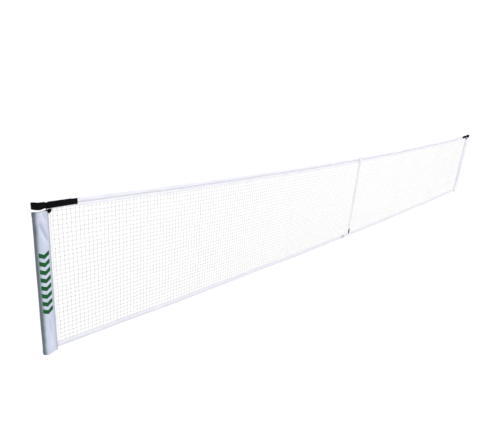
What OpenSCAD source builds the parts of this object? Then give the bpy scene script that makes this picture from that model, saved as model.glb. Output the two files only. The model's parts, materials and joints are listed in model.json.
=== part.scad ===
// Portable court net: a knotted mesh bound in tape, with a sleeve at each end that
// slides down over a post, a webbing strap at each top corner and a rod pocket at the centre.
// X runs along the net, Y points from the front to the back, Z is up.
// The origin is on the left post's axis, at the foot of the left sleeve.

/* [Net] */
// Length from the outer edge of one sleeve to the outer edge of the other
net_len = 6706; // [4000:1:8000]
// Height of the net at the posts, tapes included
net_h = 838; // [600:1:1000]
// How far the top edge hangs down at the centre
top_sag = 60; // [0:1:120]
// How far the bottom edge hangs down at the centre
bottom_sag = 40; // [0:1:120]
// Thickness of the knotted mesh
mesh_t = 2; // [1:0.1:4]

/* [Tapes and cords] */
// Height of the tape along the top edge
top_tape_h = 44; // [30:1:80]
// Height of the tape along the bottom edge
bottom_tape_h = 32; // [20:1:60]
// Width of the tape that binds each end of the mesh
side_tape_w = 12; // [8:1:30]
// Thickness of one layer of tape
tape_t = 1.2; // [0.6:0.1:2]
// Diameter of the cord inside the top tape
headline_d = 5; // [3:0.5:8]
// Diameter of the cord inside the bottom tape
foot_cord_d = 4; // [3:0.5:8]

/* [Post sleeves] */
// Diameter of the post that each sleeve slides over
post_d = 38; // [25:0.1:60]
// Radial room between the post and the sleeve
post_clearance = 0.3; // [0.1:0.1:2]
// Width of a sleeve from its outer edge to its seam with the net
sleeve_w = 83; // [70:1:130]
// Thickness of the sleeve's cloth
sleeve_cloth = 1.2; // [0.8:0.1:2]
// Distance from the net's top corner down to the top of the sleeve
sleeve_top_drop = 47; // [44:1:120]
// How far the sleeve reaches below the net's bottom corner
sleeve_foot = 15; // [5:1:40]
// Height of the folded hem at each end of a sleeve
hem_h = 22; // [10:1:40]
// Thickness of the folded hem over the sleeve
hem_t = 0.9; // [0.5:0.1:1.5]

/* [Corner straps] */
// Width of the black webbing
strap_w = 32; // [20:1:36]
// Thickness of the black webbing
strap_t = 1.6; // [1:0.1:2.5]
// Distance from the net's top edge down to the webbing
strap_drop = 4; // [0:1:6]
// Length of the loop from the post's axis to where its two sides meet
loop_reach = 48; // [40:1:60]
// Length of webbing sewn to the net, from the loop to its end
strap_len = 178; // [150:1:400]
// Distance from the net's seam to the root of the free tail
tail_start = 1; // [0:0.5:6]
// Length of the free tail that folds back over the strap
tail_len = 125; // [100:1:140]
// Thickness of each hook or loop pad
pad_t = 0.8; // [0.5:0.1:1.2]
// Length of each hook or loop pad
pad_len = 90; // [40:1:95]
// Width of the corner tab
tab_w = 24; // [12:1:40]
// Height of the corner tab
tab_h = 18; // [10:1:40]

/* [Centre pocket] */
// Width of the pocket sewn down the middle of the net
pocket_w = 35; // [25:1:60]
// Length of the pocket from the net's top edge to its open mouth
pocket_len = 738; // [400:1:760]
// Thickness of the pocket's webbing
pocket_cloth = 1; // [0.6:0.1:1.5]
// Diameter of the rod inside the pocket
rod_d = 8; // [6:0.5:9]
// Diameter of the cap on the rod's top end
cap_d = 10; // [9.5:0.5:12]
// Diameter of the black tip on the rod's bottom end
tip_d = 12; // [10.5:0.5:12]
// Length of the black tip
tip_len = 47; // [20:1:60]
// Distance from the middle of the net to the patch on the bottom tape
patch_offset = 103; // [50:1:300]
// Width of the patch
patch_w = 50; // [20:1:90]

/* [Hidden] */
$fn = 96;

// Clearance between layers of cloth that are sewn together
cloth_gap = 0.1;
// Clearance between pieces that move past each other
moving_gap = 0.35;
// Overlap of a cutting solid past the face it cuts
cut = 1;
// Number of straight lengths that each half's curved edges are built from
lengths = 8;
// Number of sides of a cord
cord_sides = 12;
// Radial room between the rod and its cap and tip
rod_fit = 0.05;

bore_r = post_d / 2 + post_clearance;
sleeve_r = bore_r + sleeve_cloth;
left_x = -sleeve_r;
mid_x = left_x + net_len / 2;
seam_x = left_x + sleeve_w;
bottom_z = sleeve_foot;
top_z = bottom_z + net_h;
sleeve_top_z = top_z - sleeve_top_drop;

// Half thickness of the mesh slot, the tape's skirt and the tape's folds round the cords
slot_y = mesh_t / 2 + cloth_gap;
skirt_y = slot_y + tape_t;
function fold_h(cord_d) = cord_d + 2 * (cloth_gap + tape_t);
top_fold_y = fold_h(headline_d) / 2;
bottom_fold_y = fold_h(foot_cord_d) / 2;

// The tapes and the mesh run from the left seam to the fold line and on to the right seam
net_x0 = seam_x + cloth_gap;
net_x1 = 2 * mid_x - net_x0;
mesh_inset = tape_t + cloth_gap;
pocket_y = top_fold_y + cloth_gap;
fold_x = mid_x + pocket_w / 2 + moving_gap;
fold_y = pocket_y + pocket_cloth + moving_gap;
half_gap = moving_gap / 2;

// Layers of the corner strap, counted forward from the net
strap_y = top_fold_y + cloth_gap;
strap_front = strap_y + strap_t;
loop_pad_y = strap_front + cloth_gap;
hook_pad_y = loop_pad_y + pad_t + moving_gap;
tail_y = hook_pad_y + pad_t + cloth_gap;
tab_x = seam_x - 6;
tab_y = max(strap_front, hem_y_at(tab_x)) + cloth_gap;
tail_x = seam_x + tail_start;
pad_x = tail_x + tail_len - pad_len - 10;
pad_inset = 3;
loop_top = top_z - strap_drop;
tab_link_w = 6;
tab_link_h = 20;

// The centre pocket and its rod
pocket_top = top_at(mid_x);
pocket_z = pocket_top - pocket_len;
pocket_tail = 50;
gutter_y = pocket_y + pocket_cloth + cloth_gap;
gutter_w = cap_d + 2 * moving_gap;
gutter_d = cap_d + 2 * moving_gap;
rod_y = -(gutter_y + gutter_d / 2);
rod_top = pocket_top - 14;
tip_bottom = pocket_z - tip_len;
tip_end = 6;
cap_h = 12;
cap_end = 3;
patch_t = 1.2;

function drop(x) = 1 - pow((x - mid_x) / (net_len / 2), 2);
function top_at(x) = top_z - top_sag * drop(x);
function bottom_at(x) = bottom_z - bottom_sag * drop(x);
function stations(x0, x1) = [for (i = [0:lengths]) x0 + (x1 - x0) * i / lengths];
function top_edge(xs) = [for (x = xs) top_at(x)];
function bottom_edge(xs) = [for (x = xs) bottom_at(x)];
function shifted(zs, dz) = [for (z = zs) z + dz];

// How far in front of the net the sleeve's hem stands at a distance x from the post's axis
function hem_y_at(x) =
    let(end_y = skirt_y + hem_t,
        turn = atan2(end_y, seam_x) + acos((sleeve_r + cloth_gap + hem_t) / norm([seam_x, end_y])))
    end_y + (seam_x - x) * cos(turn) / sin(turn);

function past_ends(xs) = [for (i = [0:len(xs) - 1]) xs[i] + (i == 0 ? -cut : i == len(xs) - 1 ? cut : 0)];

// A flat slab that stands in the XZ plane between two edges that may curve
module panel(xs, lower, upper, y0, y1) {
    last = len(xs) - 1;
    outline = concat(
        [for (i = [0:last]) [xs[i], lower[i]]],
        [for (i = [last:-1:0]) [xs[i], upper[i]]]
    );
    translate([0, y1, 0])
        rotate([90, 0, 0])
            linear_extrude(y1 - y0)
                polygon(outline);
}

// Part of a tape: a slab from one distance to another away from an edge
module strip(xs, edge, from, to, half_y) {
    panel(xs, shifted(edge, min(from, to)), shifted(edge, max(from, to)), -half_y, half_y);
}

// Tape folded round a cord, with its two skirts down both faces of the mesh.
// side is -1 where the skirts hang down from the edge and 1 where they stand up.
module folded_tape(xs, edge, side, height, cord_d) {
    fold = fold_h(cord_d);
    difference() {
        union() {
            strip(xs, edge, 0, side * fold, fold / 2);
            strip(xs, edge, 0, side * height, skirt_y);
        }
        strip(past_ends(xs), edge, side * tape_t, side * (fold - tape_t), fold / 2 - tape_t);
        strip(past_ends(xs), edge, side * fold / 2, side * (height + cut), slot_y);
    }
}

// A round cord through a list of stations, its centre line at the heights given
module cord(xs, zs, cord_d) {
    last = len(xs) - 1;
    n = cord_sides;
    points = [for (i = [0:last]) for (k = [0:n - 1])
        [xs[i], cord_d / 2 * cos(360 * k / n), zs[i] + cord_d / 2 * sin(360 * k / n)]];
    sides = [for (i = [0:last - 1]) for (k = [0:n - 1])
        [i * n + k, i * n + (k + 1) % n, (i + 1) * n + (k + 1) % n, (i + 1) * n + k]];
    start = [for (k = [n - 1:-1:0]) k];
    end = [for (k = [0:n - 1]) last * n + k];
    polyhedron(points = points, faces = concat([start], sides, [end]), convexity = 4);
}

// Cloth that goes round the post and draws in to a flat end, seen from above
module pouch(r, end_x, end_y0, end_y1) {
    low = atan2(end_y0, end_x) - acos(r / norm([end_x, end_y0]));
    high = atan2(end_y1, end_x) + acos(r / norm([end_x, end_y1]));
    circle(r);
    polygon([
        [0, 0],
        [r * cos(low), r * sin(low)],
        [end_x, end_y0],
        [end_x, end_y1],
        [r * cos(high), r * sin(high)]
    ]);
}

// Copies the left end's piece to the right end
module at_right_end() {
    translate([2 * mid_x, 0, 0])
        mirror([1, 0, 0])
            children();
}

module net_mesh(xs) {
    color("white")
        panel(
            xs,
            shifted(bottom_edge(xs), fold_h(foot_cord_d)),
            shifted(top_edge(xs), -fold_h(headline_d)),
            -mesh_t / 2, mesh_t / 2
        );
}

module net_mesh_left() { net_mesh(stations(net_x0 + mesh_inset, fold_x - half_gap)); }
module net_mesh_right() { net_mesh(stations(fold_x + half_gap, net_x1 - mesh_inset)); }

module top_tape(xs) {
    color("lavender") folded_tape(xs, top_edge(xs), -1, top_tape_h, headline_d);
}

module top_tape_left() { top_tape(stations(net_x0, fold_x - half_gap)); }
module top_tape_right() { top_tape(stations(fold_x + half_gap, net_x1)); }

module bottom_tape(xs) {
    color("lavender") folded_tape(xs, bottom_edge(xs), 1, bottom_tape_h, foot_cord_d);
}

module bottom_tape_left() { bottom_tape(stations(net_x0, fold_x - half_gap)); }
module bottom_tape_right() { bottom_tape(stations(fold_x + half_gap, net_x1)); }

module headline_cord(xs) {
    color("gainsboro") cord(xs, shifted(top_edge(xs), -fold_h(headline_d) / 2), headline_d);
}

module headline_cord_left() { headline_cord(stations(net_x0, fold_x - half_gap)); }
module headline_cord_right() { headline_cord(stations(fold_x + half_gap, net_x1)); }

module foot_cord(xs) {
    color("gainsboro") cord(xs, shifted(bottom_edge(xs), fold_h(foot_cord_d) / 2), foot_cord_d);
}

module foot_cord_left() { foot_cord(stations(net_x0, fold_x - half_gap)); }
module foot_cord_right() { foot_cord(stations(fold_x + half_gap, net_x1)); }

// Binding along the end of the mesh, between the top and the bottom tape
module side_tape_left() {
    xs = [net_x0, net_x0 + side_tape_w];
    lower = shifted(bottom_edge(xs), bottom_tape_h + cloth_gap);
    upper = shifted(top_edge(xs), -top_tape_h - cloth_gap);
    slot_xs = [xs[0] + tape_t, xs[1] + cut];
    color("lavender")
        difference() {
            panel(xs, lower, upper, -skirt_y, skirt_y);
            panel(slot_xs, shifted(lower, -cut), shifted(upper, cut), -slot_y, slot_y);
        }
}

module side_tape_right() { at_right_end() side_tape_left(); }

module post_sleeve_left() {
    color("lightsteelblue")
        difference() {
            linear_extrude(sleeve_top_z) pouch(sleeve_r, seam_x, -skirt_y, skirt_y);
            translate([0, 0, -cut]) cylinder(h = sleeve_top_z + 2 * cut, r = bore_r);
        }
}

module post_sleeve_right() { at_right_end() post_sleeve_left(); }

// A second layer of cloth round the end of the sleeve
module sleeve_hem(z) {
    inner_r = sleeve_r + cloth_gap;
    color("lavender")
        translate([0, 0, z])
            difference() {
                linear_extrude(hem_h)
                    pouch(inner_r + hem_t, seam_x, -skirt_y - hem_t, skirt_y + hem_t);
                translate([0, 0, -cut])
                    linear_extrude(hem_h + 2 * cut)
                        pouch(inner_r, seam_x + cut, -skirt_y - cloth_gap, skirt_y + cloth_gap);
            }
}

module sleeve_top_hem_left() { sleeve_hem(sleeve_top_z - hem_h); }
module sleeve_top_hem_right() { at_right_end() sleeve_top_hem_left(); }
module sleeve_bottom_hem_left() { sleeve_hem(0); }
module sleeve_bottom_hem_right() { at_right_end() sleeve_bottom_hem_left(); }

// Webbing round the post, its two sides brought together at the front of the net
module post_loop_left() {
    color("black")
        translate([0, 0, loop_top - strap_w])
            difference() {
                linear_extrude(strap_w)
                    pouch(bore_r + strap_t, loop_reach, -strap_front, -strap_front + 2 * strap_t);
                translate([0, 0, -cut]) cylinder(h = strap_w + 2 * cut, r = bore_r);
            }
}

module post_loop_right() { at_right_end() post_loop_left(); }

// A length of webbing or pad that follows the top edge, at one distance in front of the net
module webbing(x0, x1, y, thickness, inset) {
    xs = [x0, (x0 + x1) / 2, x1];
    upper = shifted(top_edge(xs), -strap_drop - inset);
    panel(xs, shifted(upper, 2 * inset - strap_w), upper, -y - thickness, -y);
}

module corner_strap_left() {
    x0 = loop_reach + cloth_gap;
    color("black") webbing(x0, x0 + strap_len, strap_y, strap_t, 0);
}

module corner_strap_right() { at_right_end() corner_strap_left(); }

module strap_loop_pad_left() {
    color("dimgray") webbing(pad_x, pad_x + pad_len, loop_pad_y, pad_t, pad_inset);
}

module strap_loop_pad_right() { at_right_end() strap_loop_pad_left(); }

module strap_tail_left() {
    color("black") webbing(tail_x, tail_x + tail_len, tail_y, strap_t, 0);
}

module strap_tail_right() { at_right_end() strap_tail_left(); }

module tail_hook_pad_left() {
    color("dimgray") webbing(pad_x, pad_x + pad_len, hook_pad_y, pad_t, pad_inset);
}

module tail_hook_pad_right() { at_right_end() tail_hook_pad_left(); }

// Folded webbing tab below the strap, joined to it by a narrow link
module corner_tab_left() {
    tab_top = sleeve_top_z + cloth_gap;
    color("black")
        translate([tab_x, -tab_y - strap_t, 0]) {
            translate([0, 0, tab_top - tab_h]) cube([tab_w, strap_t, tab_h]);
            translate([0, 0, tab_top - cut]) cube([tab_link_w, strap_t, tab_link_h + cut]);
        }
}

module corner_tab_right() { at_right_end() corner_tab_left(); }

// Back layer of the centre pocket, folded over the top edge and down the back
module pocket_back() {
    front = -pocket_y - pocket_cloth;
    over = pocket_top + cloth_gap;
    profile = [
        [front, pocket_z], [-pocket_y, pocket_z],
        [-pocket_y, over], [pocket_y, over],
        [pocket_y, over - pocket_tail], [-front, over - pocket_tail],
        [-front, over + pocket_cloth], [front, over + pocket_cloth]
    ];
    color("gainsboro")
        translate([mid_x - pocket_w / 2, 0, 0])
            rotate([90, 0, 90])
                linear_extrude(pocket_w)
                    polygon(profile);
}

// Front layer of the centre pocket, sewn flat along both edges and raised over the rod
module pocket_front() {
    half = pocket_w / 2;
    inner = gutter_w / 2;
    outer = inner + pocket_cloth;
    y0 = -gutter_y;
    y1 = y0 - pocket_cloth;
    color("gainsboro")
        translate([mid_x, 0, pocket_z])
            linear_extrude(pocket_len)
                polygon([
                    [-half, y0], [-inner, y0], [-inner, y0 - gutter_d], [inner, y0 - gutter_d],
                    [inner, y0], [half, y0], [half, y1], [outer, y1],
                    [outer, y1 - gutter_d], [-outer, y1 - gutter_d], [-outer, y1], [-half, y1]
                ]);
}

module centre_rod() {
    z0 = tip_bottom + tip_end + cloth_gap;
    color("whitesmoke")
        translate([mid_x, rod_y, z0])
            cylinder(h = rod_top - z0, d = rod_d);
}

module rod_cap() {
    color("black")
        translate([mid_x, rod_y, rod_top + cap_end + cloth_gap - cap_h])
            difference() {
                cylinder(h = cap_h, d = cap_d);
                translate([0, 0, -cut])
                    cylinder(h = cap_h - cap_end + cut, d = rod_d + 2 * rod_fit);
            }
}

module rod_tip() {
    height = tip_len - moving_gap;
    color("black")
        translate([mid_x, rod_y, tip_bottom])
            difference() {
                cylinder(h = height, d = tip_d);
                translate([0, 0, tip_end])
                    cylinder(h = height, d = rod_d + 2 * rod_fit);
            }
}

// Grey patch folded round the bottom tape
module foot_patch() {
    x0 = mid_x - patch_offset - patch_w / 2;
    xs = [x0, x0 + patch_w];
    edge = bottom_edge(xs);
    inner_y = bottom_fold_y + cloth_gap;
    color("silver")
        difference() {
            strip(xs, edge, -cloth_gap - patch_t, bottom_tape_h, inner_y + patch_t);
            strip(past_ends(xs), edge, -cloth_gap, bottom_tape_h + cut, inner_y);
        }
}

net_mesh_left();
net_mesh_right();
top_tape_left();
top_tape_right();
bottom_tape_left();
bottom_tape_right();
headline_cord_left();
headline_cord_right();
foot_cord_left();
foot_cord_right();
side_tape_left();
side_tape_right();
post_sleeve_left();
post_sleeve_right();
sleeve_top_hem_left();
sleeve_top_hem_right();
sleeve_bottom_hem_left();
sleeve_bottom_hem_right();
post_loop_left();
post_loop_right();
corner_strap_left();
corner_strap_right();
strap_loop_pad_left();
strap_loop_pad_right();
strap_tail_left();
strap_tail_right();
tail_hook_pad_left();
tail_hook_pad_right();
corner_tab_left();
corner_tab_right();
pocket_back();
pocket_front();
centre_rod();
rod_cap();
rod_tip();
foot_patch();
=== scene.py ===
"""Portable court net: knotted mesh bound in tape, a sleeve for a post at each end, black
corner straps and a rod pocket at the centre. X runs along the net, Y from front to back."""
import json
import math

import bpy
import numpy as np
from mathutils import Euler, Matrix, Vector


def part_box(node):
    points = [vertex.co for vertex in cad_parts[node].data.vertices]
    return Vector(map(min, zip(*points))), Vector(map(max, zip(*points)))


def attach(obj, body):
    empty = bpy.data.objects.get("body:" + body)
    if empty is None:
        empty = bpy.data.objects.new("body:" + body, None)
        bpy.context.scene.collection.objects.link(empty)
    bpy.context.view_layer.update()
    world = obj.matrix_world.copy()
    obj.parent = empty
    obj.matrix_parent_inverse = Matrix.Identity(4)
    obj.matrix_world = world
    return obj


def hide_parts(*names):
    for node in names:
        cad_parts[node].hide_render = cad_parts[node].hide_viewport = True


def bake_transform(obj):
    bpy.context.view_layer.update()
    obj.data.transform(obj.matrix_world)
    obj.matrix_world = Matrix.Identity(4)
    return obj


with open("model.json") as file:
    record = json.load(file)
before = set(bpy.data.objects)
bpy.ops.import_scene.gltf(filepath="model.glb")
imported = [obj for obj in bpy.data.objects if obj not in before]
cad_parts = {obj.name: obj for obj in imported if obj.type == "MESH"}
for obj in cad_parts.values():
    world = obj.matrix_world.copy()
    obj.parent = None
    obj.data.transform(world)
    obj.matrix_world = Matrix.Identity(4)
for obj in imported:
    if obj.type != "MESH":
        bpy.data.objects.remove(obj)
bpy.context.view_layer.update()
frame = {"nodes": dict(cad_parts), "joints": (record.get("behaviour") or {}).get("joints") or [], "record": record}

MM = 0.001
rng = np.random.default_rng(7)

# ---------------------------------------------------------------- sizes, in metres
NODES = frame["nodes"]


def box(name):
    """The lowest and the highest corner of a CAD node."""
    low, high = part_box(name)
    return np.array(low, float), np.array(high, float)


FOLD = next(j for j in frame["joints"] if j["name"] == "centre_fold")
FOLD_X = FOLD["pos_m"][0]
MOUNTS = {m["name"]: m for m in frame["record"]["mounts"]}
RIGHT_POST_X = MOUNTS["right_post_pocket"]["pos_m"][0]
POST_R = MOUNTS["left_post_pocket"]["dims"]["r_mm"] * MM
MID_X = RIGHT_POST_X / 2
POCKET_LOW, POCKET_HIGH = box("pocket_front")
TOP_LOW, TOP_HIGH = box("top_tape_left")
BOTTOM_LOW, BOTTOM_HIGH = box("bottom_tape_left")
SLEEVE_LOW, SLEEVE_HIGH = box("post_sleeve_left")
SIDE_LOW, SIDE_HIGH = box("side_tape_left")

NET_X0 = TOP_LOW[0]
NET_X1 = RIGHT_POST_X - NET_X0
TOP_TAPE_H = 44 * MM
BOTTOM_TAPE_H = 32 * MM
TAPE_T = 1.2 * MM
HEADLINE_R = 2.5 * MM
FOOT_CORD_R = 2.0 * MM
TOP_FOLD_R = TOP_HIGH[1] - TAPE_T / 2
BOTTOM_FOLD_R = BOTTOM_HIGH[1] - TAPE_T / 2
SKIRT_Y = SIDE_HIGH[1] - TAPE_T / 2
TOP_END_Z = TOP_HIGH[2]
TOP_MID_Z = POCKET_HIGH[2]
BOTTOM_END_Z = BOTTOM_HIGH[2] - BOTTOM_TAPE_H
BOTTOM_MID_Z = BOTTOM_LOW[2]


def along(x):
    """0 at the middle of the net and 1 at the ends of the tapes, squared: the shape of the sag."""
    return ((x - MID_X) / (NET_X0 - MID_X)) ** 2


def top_at(x):
    """The height of the net's top edge."""
    return TOP_MID_Z + (TOP_END_Z - TOP_MID_Z) * along(x)


def bottom_at(x):
    """The height of the net's bottom edge."""
    return BOTTOM_MID_Z + (BOTTOM_END_Z - BOTTOM_MID_Z) * along(x)


BILLOW = 5.0 * MM
POST_HOLD = 0.5
POCKET_HOLD = 0.6


def billow(x):
    """How far the hanging cloth stands out of its plane: soft waves that die out over POST_HOLD at the
    posts and over POCKET_HOLD at the pocket."""
    near_post = np.clip(np.minimum(x - NET_X0, NET_X1 - x) / POST_HOLD, 0, 1)
    near_pocket = np.clip(np.abs(x - MID_X) / POCKET_HOLD - 0.1, 0, 1)
    wave = 0.6 * np.sin(x * 4.1 + 0.7) + 0.4 * np.sin(x * 9.7 + 2.1)
    return BILLOW * near_post * near_pocket * wave


# ---------------------------------------------------------------- materials
def linear(code):
    """An sRGB hex colour as the linear colour that a shader takes."""
    parts = [int(code[i:i + 2], 16) / 255 for i in (1, 3, 5)]
    return tuple(c / 12.92 if c <= 0.04045 else ((c + 0.055) / 1.055) ** 2.4 for c in parts) + (1.0,)


def add_node(tree, kind, inputs=None, to=None, stops=(), **settings):
    """Adds one node: its settings, its colour stops, the values or links of its inputs and the socket
    that its first output feeds. Returns its outputs."""
    made = tree.nodes.new(kind)
    for key, value in settings.items():
        setattr(made, key, value)
    for i, (position, code) in enumerate(stops):
        band = made.color_ramp.elements
        element = band[i] if i < len(band) else band.new(position)
        element.position = position
        element.color = linear(code)
    for key, value in (inputs or {}).items():
        if isinstance(value, bpy.types.NodeSocket):
            tree.links.new(value, made.inputs[key])
        else:
            made.inputs[key].default_value = value
    if to:
        tree.links.new(made.outputs[0], to)
    return made.outputs


def start_material(name, **surface):
    """A new material with its node tree, its shader's sockets and the object's own coordinates."""
    material = bpy.data.materials.new(name)
    material.use_nodes = True
    tree = material.node_tree
    shader = tree.nodes["Principled BSDF"].inputs
    for key, value in surface.items():
        shader[key.replace("_", " ")].default_value = value
    return material, tree, shader, add_node(tree, "ShaderNodeTexCoord")["Object"]


def stripes(spacing):
    """The Wave node's scale for threads or ribs that lie spacing metres apart."""
    return math.pi / (10 * spacing)


def blotches(size):
    """The Noise and Voronoi nodes' scale for marks size metres across."""
    return 1 / size


PATTERN_SHARE = 0.35  # how much of a finish's tone comes from its fine pattern
SLUB_SQUEEZE = 0.15  # a slub's width over its length


def finish_surface(tree, shader, pattern, drift, dark, light, roughness, depth, tint=None):
    """Turns a fine pattern and a slow drift into colour, roughness and bump. The pattern stands depth
    metres high, roughness is (least, most), and a tint is laid over the colour."""
    tone = add_node(tree, "ShaderNodeMath", {0: pattern, 1: PATTERN_SHARE, 2: drift},
                    operation="MULTIPLY_ADD")[0]
    colour = add_node(tree, "ShaderNodeValToRGB", {"Fac": tone}, to=shader["Base Color"],
                      stops=[(0.35, dark), (0.45 + PATTERN_SHARE, light)])["Color"]
    if tint:
        add_node(tree, "ShaderNodeVectorMath", {0: colour, 1: tint}, to=shader["Base Color"],
                 operation="MULTIPLY")
    add_node(tree, "ShaderNodeMapRange", to=shader["Roughness"], inputs={
        "Value": drift, "From Min": 0.3, "From Max": 0.7, "To Min": roughness[0], "To Max": roughness[1]})
    add_node(tree, "ShaderNodeBump", {"Height": pattern, "Distance": depth}, to=shader["Normal"])


def plain_weave(tree, place, spacing):
    """Warp and weft threads, spacing apart: high where they cross."""
    warp, weft = (add_node(tree, "ShaderNodeTexWave", bands_direction=way, inputs={
        "Vector": place, "Scale": stripes(spacing), "Distortion": 0.4})["Fac"] for way in "XZ")
    return add_node(tree, "ShaderNodeMath", {0: warp, 1: weft}, operation="MULTIPLY")[0]


def woven_cloth(name, dark, light, spacing, slub, roughness, skirt=(), **surface):
    """Plain-woven cloth, with slubs: stretches of thicker thread that run along the weft. skirt is a tint of
    painted shade and light over a folded tape, from its cord, at 0, to the edge of its skirt, at 1."""
    material, tree, shader, place = start_material(name, **surface)
    tint = None
    if skirt:
        depth = add_node(tree, "ShaderNodeAttribute", attribute_name="skirt")["Fac"]
        tint = add_node(tree, "ShaderNodeValToRGB", {"Fac": depth}, stops=skirt)["Color"]
    weave = plain_weave(tree, place, spacing)
    along_weft = add_node(tree, "ShaderNodeMapping", {"Vector": place, "Scale": (SLUB_SQUEEZE, 1, 1)})[0]
    slubs = add_node(tree, "ShaderNodeTexNoise", {
        "Vector": along_weft, "Scale": blotches(slub), "Detail": 3.0})["Fac"]
    finish_surface(tree, shader, weave, slubs, dark, light, roughness, 0.25 * spacing, tint)
    return material


def twisted_yarn(name, dark, light, lay, roughness, left_tint=None, **surface):
    """Twisted or braided yarn: its plies slant across it, lay apart, and it greys where it is handled.
    A tint given for the left end of the net darkens it there and fades out towards the right."""
    material, tree, shader, place = start_material(name, **surface)
    tint = None
    if left_tint:
        x = add_node(tree, "ShaderNodeSeparateXYZ", {"Vector": place})["X"]
        share = add_node(tree, "ShaderNodeMapRange", {
            "Value": x, "From Min": NET_X0, "From Max": NET_X0 + GREYING_LENGTH})[0]
        tint = add_node(tree, "ShaderNodeValToRGB", {"Fac": share}, stops=[
            (0.0, left_tint), (1.0, "#FFFFFF")])["Color"]
    plies = add_node(tree, "ShaderNodeTexWave", bands_direction="DIAGONAL", inputs={
        "Vector": place, "Scale": stripes(lay), "Distortion": 1.5})["Fac"]
    handled = add_node(tree, "ShaderNodeTexNoise", {
        "Vector": place, "Scale": blotches(70 * MM), "Detail": 5.0})["Fac"]
    finish_surface(tree, shader, plies, handled, dark, light, roughness, 0.1 * lay, tint)
    return material


def ribbed_webbing(name, dark, light, rib, roughness, **surface):
    """Woven webbing: rib-wide ribs along it, broken up by the slant of its threads, with dust in them."""
    material, tree, shader, place = start_material(name, **surface)
    ribs = add_node(tree, "ShaderNodeTexWave", bands_direction="Z", inputs={
        "Vector": place, "Scale": stripes(rib), "Distortion": 0.6})["Fac"]
    threads = add_node(tree, "ShaderNodeTexWave", bands_direction="DIAGONAL", inputs={
        "Vector": place, "Scale": stripes(0.7 * rib), "Distortion": 0.6})["Fac"]
    weave = add_node(tree, "ShaderNodeMath", {0: ribs, 1: threads}, operation="MULTIPLY")[0]
    dust = add_node(tree, "ShaderNodeTexNoise", {
        "Vector": place, "Scale": blotches(28 * MM), "Detail": 6.0})["Fac"]
    finish_surface(tree, shader, weave, dust, dark, light, roughness, 0.2 * rib)
    return material


def smooth_solid(name, dark, light, grain, stretch, roughness, **surface):
    """A moulded, drawn or printed surface: fine grain, longer up the piece where stretch is under 1."""
    material, tree, shader, place = start_material(name, **surface)
    drawn = add_node(tree, "ShaderNodeMapping", {"Vector": place, "Scale": (1, 1, stretch)})[0]
    fine = add_node(tree, "ShaderNodeTexNoise", {
        "Vector": drawn, "Scale": blotches(grain), "Detail": 5.0})["Fac"]
    broad = add_node(tree, "ShaderNodeTexNoise", {
        "Vector": place, "Scale": blotches(12 * grain), "Detail": 2.0})["Fac"]
    finish_surface(tree, shader, fine, broad, dark, light, roughness, 0.06 * grain)
    return material


SEAM_SHADE = 4 * MM
EDGE_DRIFT = 8 * MM
# Painted shade for the sleeves' creases: darkest in a hollow, at slack 0, the cloth's own tone on a ridge, at 1.
CREASE_SHADE_TONES = [(0.0, "#D2D3DA"), (0.3, "#E3E5EB"), (0.5, "#F1F2F6"), (1.0, "#FFFFFF")]


def coated_oxford(name, seam, outer, tones):
    """Oxford cloth of a sleeve: tones are its colours from SEAM_SHADE past the seam, at 0, to round the
    post, at 1, and their borders drift by EDGE_DRIFT; on the left sleeve they hold painted shade. The cloth's
    slack attribute is 0 in the hollow of a crease and 1 on its ridge, and the crease tones paint shade into the
    hollows."""
    material, tree, shader, place = start_material(name, IOR=1.53, Sheen_Weight=0.15)
    outward = 1 if outer > seam else -1
    x = add_node(tree, "ShaderNodeSeparateXYZ", {"Vector": place})["X"]
    cloud = add_node(tree, "ShaderNodeTexNoise", {
        "Vector": place, "Scale": blotches(45 * MM), "Detail": 3.0})["Fac"]
    uneven = add_node(tree, "ShaderNodeMath", {0: cloud, 1: outward * EDGE_DRIFT, 2: x},
                      operation="MULTIPLY_ADD")[0]
    across = add_node(tree, "ShaderNodeMapRange", {
        "Value": uneven, "From Min": seam + outward * SEAM_SHADE,
        "From Max": outer + outward * EDGE_DRIFT})[0]
    cloth_tone = add_node(tree, "ShaderNodeValToRGB", {"Fac": across}, stops=tones)["Color"]
    slack = add_node(tree, "ShaderNodeAttribute", attribute_name="slack")["Fac"]
    # painted crease shade, read from the cloth's slack
    crease_shade = add_node(tree, "ShaderNodeValToRGB", {"Fac": slack}, stops=CREASE_SHADE_TONES)["Color"]
    add_node(tree, "ShaderNodeVectorMath", {0: cloth_tone, 1: crease_shade}, to=shader["Base Color"],
             operation="MULTIPLY")
    add_node(tree, "ShaderNodeMapRange", {"Value": cloud, "To Min": 0.38, "To Max": 0.62},
             to=shader["Roughness"])
    # the real threads are 0.4 mm apart and are drawn 1 mm apart, with 15 mm rumples that show from afar
    weave = plain_weave(tree, place, 1.0 * MM)
    rumple = add_node(tree, "ShaderNodeTexNoise", {
        "Vector": place, "Scale": blotches(15 * MM), "Detail": 4.0, "Distortion": 0.6})["Fac"]
    height = add_node(tree, "ShaderNodeMath", {0: rumple, 1: 4.0, 2: weave}, operation="MULTIPLY_ADD")[0]
    add_node(tree, "ShaderNodeBump", {"Height": height, "Strength": 0.4, "Distance": 0.4 * MM},
             to=shader["Normal"])
    return material


GREYING_LENGTH = 3.6  # how far along the net, in metres, the greying of its left end reaches
# Polyethylene twine, braided from drawn filament: waxy and white, its plies slanting across it. They
# are 0.5 mm wide and are drawn 2.2 mm wide, so that a strand looks banded. It is tinted darker
# towards the left end of the net, and the tint fades out towards the right.
TWINE = twisted_yarn("braided_polyethylene_twine", "#D3D3D2", "#E1E1E0", 2.2 * MM, (0.55, 0.7),
                     left_tint="#CCCCCC", IOR=1.51, Specular_IOR_Level=0.3)
# The same twine pulled tight into knots, duller than the strands, its base tone a little greyer: painted shade of
# the knots' tight turns. At the left end they darken less than the strands.
KNOT_TWINE = twisted_yarn("twine_knots_painted_shade", "#CBCBC9", "#DCDCDA", 1.6 * MM, (0.65, 0.8),
                          left_tint="#E8E8E8", IOR=1.51, Specular_IOR_Level=0.2)
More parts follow.
